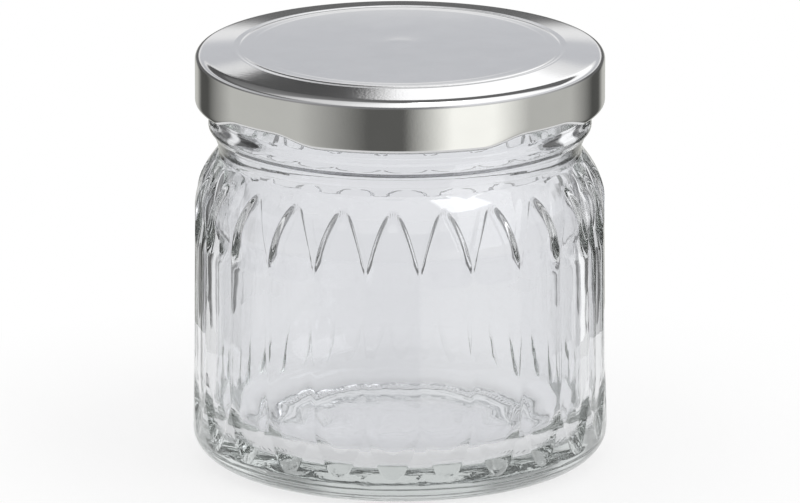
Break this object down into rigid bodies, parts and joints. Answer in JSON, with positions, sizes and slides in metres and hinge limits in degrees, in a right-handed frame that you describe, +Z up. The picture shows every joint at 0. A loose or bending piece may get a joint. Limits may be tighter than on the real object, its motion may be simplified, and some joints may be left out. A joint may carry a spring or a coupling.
{
  "type": "canning jar",
  "caption": "Squat clear glass preserving jar with arched flutes round the body, closed by a pressed metal lug lid with a sealing ring.",
  "frame": {"origin": "centre of the ring that the base rests on", "axes": "+Z up along the axis of the jar, -Y to the side seen in the picture"},
  "size_m": [0.07, 0.07, 0.0714],
  "materials": {
    "glass": "clear, fire-polished",
    "compound": "matt, pale",
    "tinplate": "bright bare tinplate with a fine rolling grain"
  },
  "bodies": {
    "jar": {"glass_jar": "glass"},
    "gasket": {"gasket": "compound"},
    "lid": {"lid_shell": "tinplate"}
  },
  "joints": [
    {"name": "lid_rise", "type": "slide", "parent": "jar", "child": "gasket", "axis": [0, 0, 1], "range_m": [0, 0.0135]},
    {"name": "lid_turn", "type": "hinge", "parent": "gasket", "child": "lid", "pos_m": [0, 0, 0.0705], "axis": [0, 0, 1], "range_deg": [0, 270.5]}
  ],
  "couplings": [
    {"joint": "lid_turn", "follows": "lid_rise", "rad_per_m": 349.07}
  ]
}
